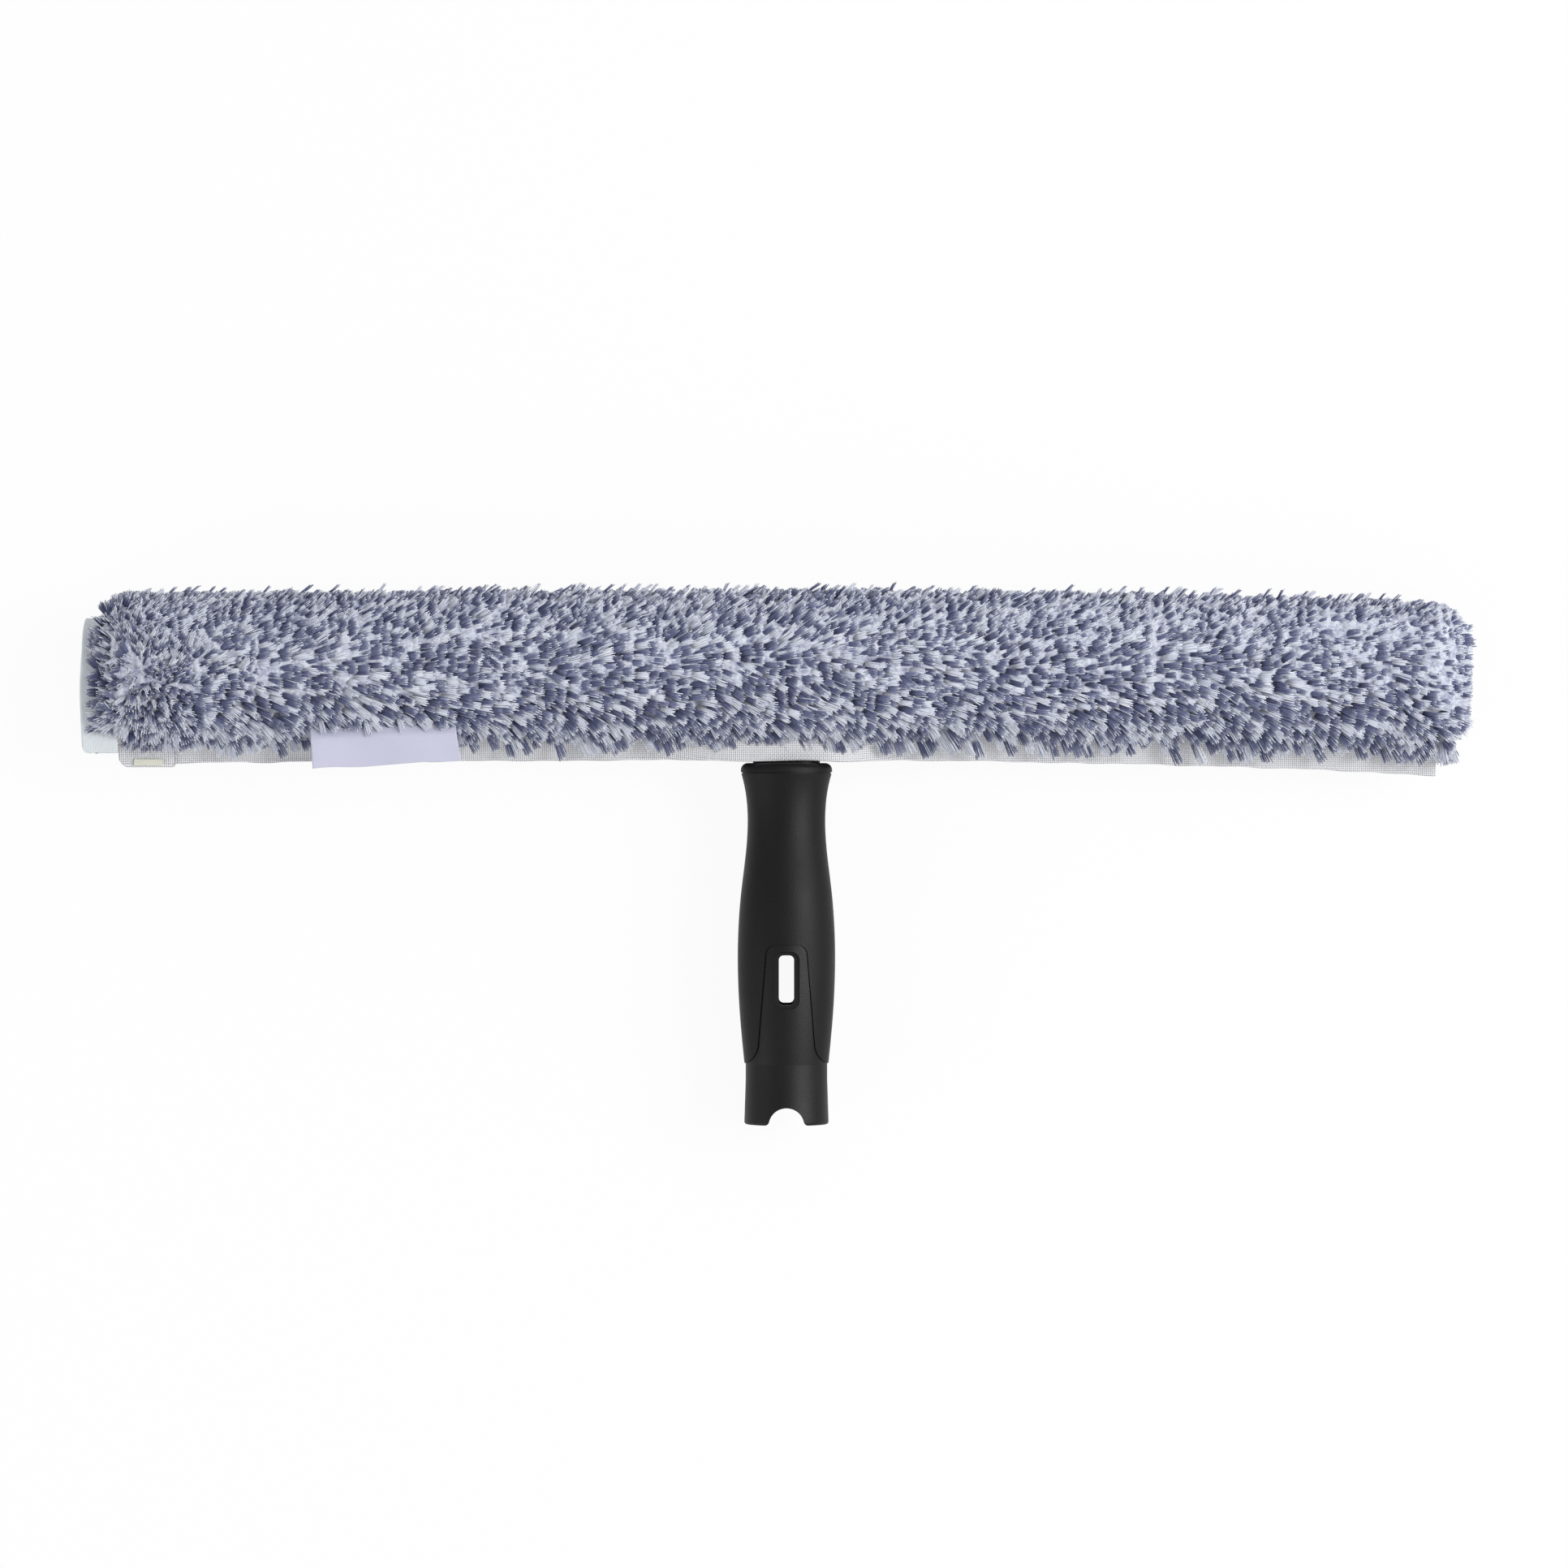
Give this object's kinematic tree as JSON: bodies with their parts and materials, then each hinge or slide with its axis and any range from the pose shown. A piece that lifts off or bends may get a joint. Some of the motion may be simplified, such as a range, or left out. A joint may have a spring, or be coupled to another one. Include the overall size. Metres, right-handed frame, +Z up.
{
  "type": "window scrubber",
  "caption": "T-shaped window scrubber: a gripped handle with a pole socket carries a hollow bar, over which a pile sleeve with a sewn hem and a peel-open strap slides.",
  "frame": {"origin": "centre of the pole socket's mouth, on the handle's axis", "axes": "+Y along the handle from the socket's mouth to the bar, +X along the bar to its right end, +Z up out of the front face, with the part lying on its back"},
  "size_m": [0.457, 0.1755, 0.035],
  "materials": {
    "hard_plastic": "finely textured black",
    "soft_grip": "matte black soft overmould",
    "bar_plastic": "dark grey moulded",
    "screw_steel": "plain",
    "bumper_rubber": "soft black",
    "backing": "woven",
    "grey_pile": "two-tone grey cut pile",
    "cuff_cloth": "smooth coated cloth",
    "hem_tape": "ribbed white tape",
    "closure_tape": "hook and loop tape",
    "label_cloth": "woven label cloth",
    "hook_patch": "hook tape"
  },
  "bodies": {
    "handle_and_bar": {"handle_core": "hard_plastic", "grip_overmould": "soft_grip", "bar_front_shell": "bar_plastic", "bar_rear_shell": "bar_plastic", "shell_screws": "screw_steel", "left_bumper": "bumper_rubber", "right_bumper": "bumper_rubber"},
    "sleeve": {"backing_cloth": "backing", "pile_sleeve": "grey_pile", "right_end_panel": "backing", "left_cuff": "cuff_cloth", "front_hem": "hem_tape", "rear_hem": "hem_tape", "loop_tape": "closure_tape", "hook_tape": "closure_tape", "sewn_label": "label_cloth"},
    "strap": {"closing_tab": "hem_tape", "tab_hook_patch": "hook_patch"}
  },
  "joints": [
    {"name": "sleeve_slide", "type": "slide", "parent": "handle_and_bar", "child": "sleeve", "axis": [1, 0, 0], "range_m": [0, 0.452], "deforming": ["front_hem", "rear_hem", "loop_tape", "hook_tape", "closing_tab", "tab_hook_patch"]},
    {"name": "strap_peel", "type": "hinge", "parent": "sleeve", "child": "strap", "pos_m": [-0.21, 0.1184, -0.0016], "axis": [1, 0, 0], "range_deg": [0, 120]}
  ]
}
